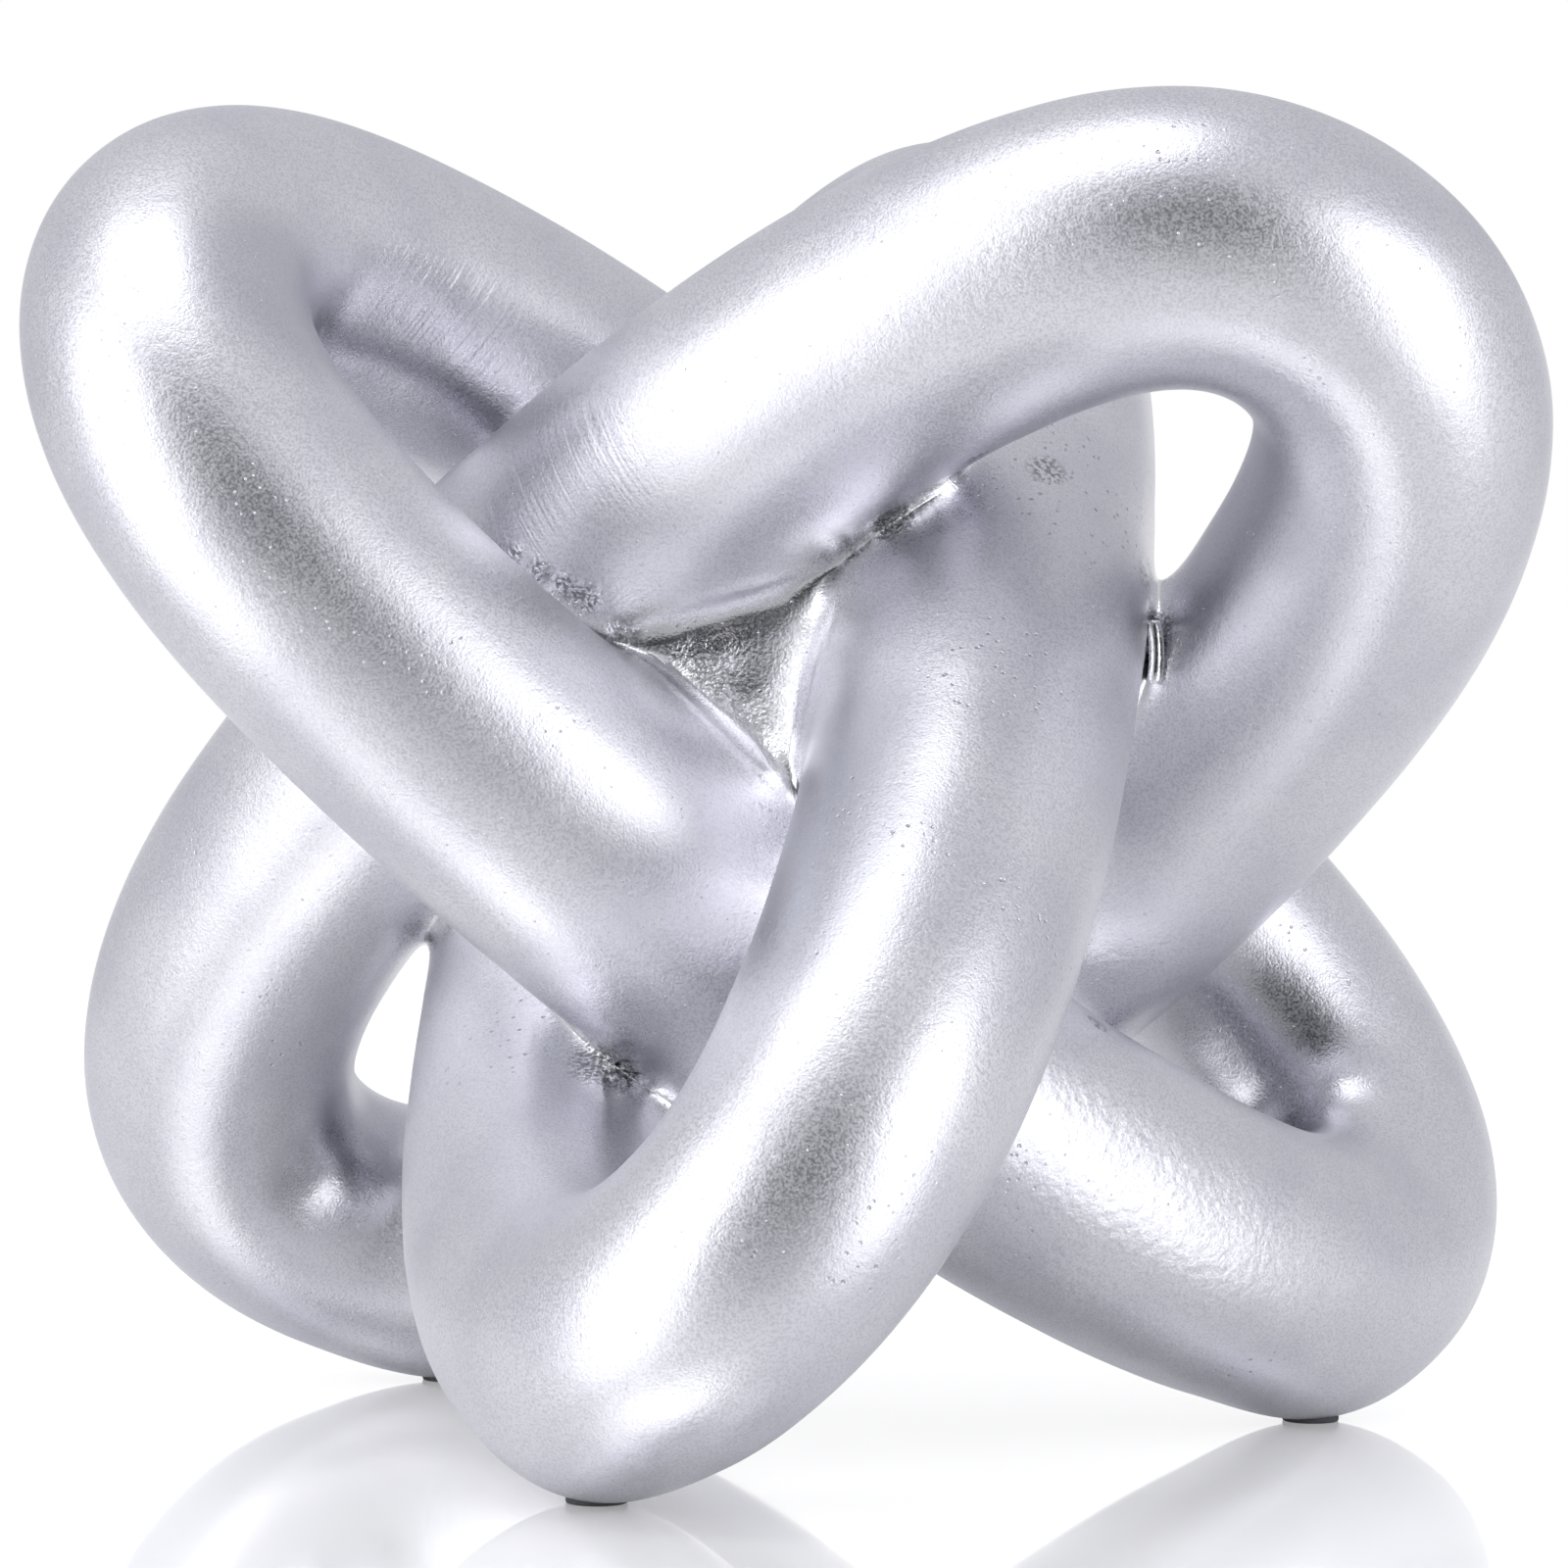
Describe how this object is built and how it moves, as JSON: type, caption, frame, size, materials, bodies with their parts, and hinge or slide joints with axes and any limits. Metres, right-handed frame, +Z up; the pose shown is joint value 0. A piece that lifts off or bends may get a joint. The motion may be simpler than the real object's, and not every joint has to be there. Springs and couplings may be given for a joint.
{
  "type": "knot sculpture",
  "caption": "Free-standing knot ornament of elongated round-bar rings, linked square to one another, fused where they cross and resting on padded lower lobes.",
  "frame": {"origin": "on the surface it rests on, below the point where the middles of the three rings meet", "axes": "+Z up, -Y towards the front lobe, +X to the right"},
  "size_m": [0.1504, 0.1601, 0.1305],
  "materials": {
    "silver_casting": "satin silver paint over a cast bar, with fine orange peel and sanding marks",
    "silver_filler": "the same silver paint, glossier and more crinkled in the crevices",
    "dowel_steel": "plain steel, hidden",
    "pad_rubber": "matte dark self-adhesive pad"
  },
  "bodies": {
    "root": {"upper_left_lobe": "silver_casting", "lower_right_lobe": "silver_casting", "upper_right_lobe": "silver_casting", "lower_left_lobe": "silver_casting", "front_lobe": "silver_casting", "rear_lobe": "silver_casting", "central_web": "silver_filler", "front_lobe_right_weld": "silver_filler", "front_lobe_left_weld": "silver_filler", "rear_lobe_right_weld": "silver_filler", "rear_lobe_left_weld": "silver_filler", "upper_right_lobe_left_weld": "silver_filler", "upper_right_lobe_right_weld": "silver_filler", "lower_left_lobe_left_weld": "silver_filler", "lower_left_lobe_right_weld": "silver_filler", "upper_left_lobe_front_weld": "silver_filler", "upper_left_lobe_rear_weld": "silver_filler", "lower_right_lobe_front_weld": "silver_filler", "lower_right_lobe_rear_weld": "silver_filler", "left_ring_front_dowel": "dowel_steel", "left_ring_rear_dowel": "dowel_steel", "right_ring_left_dowel": "dowel_steel", "right_ring_right_dowel": "dowel_steel", "middle_ring_right_dowel": "dowel_steel", "middle_ring_left_dowel": "dowel_steel", "front_pad": "pad_rubber", "right_pad": "pad_rubber", "left_pad": "pad_rubber"}
  },
  "joints": []
}
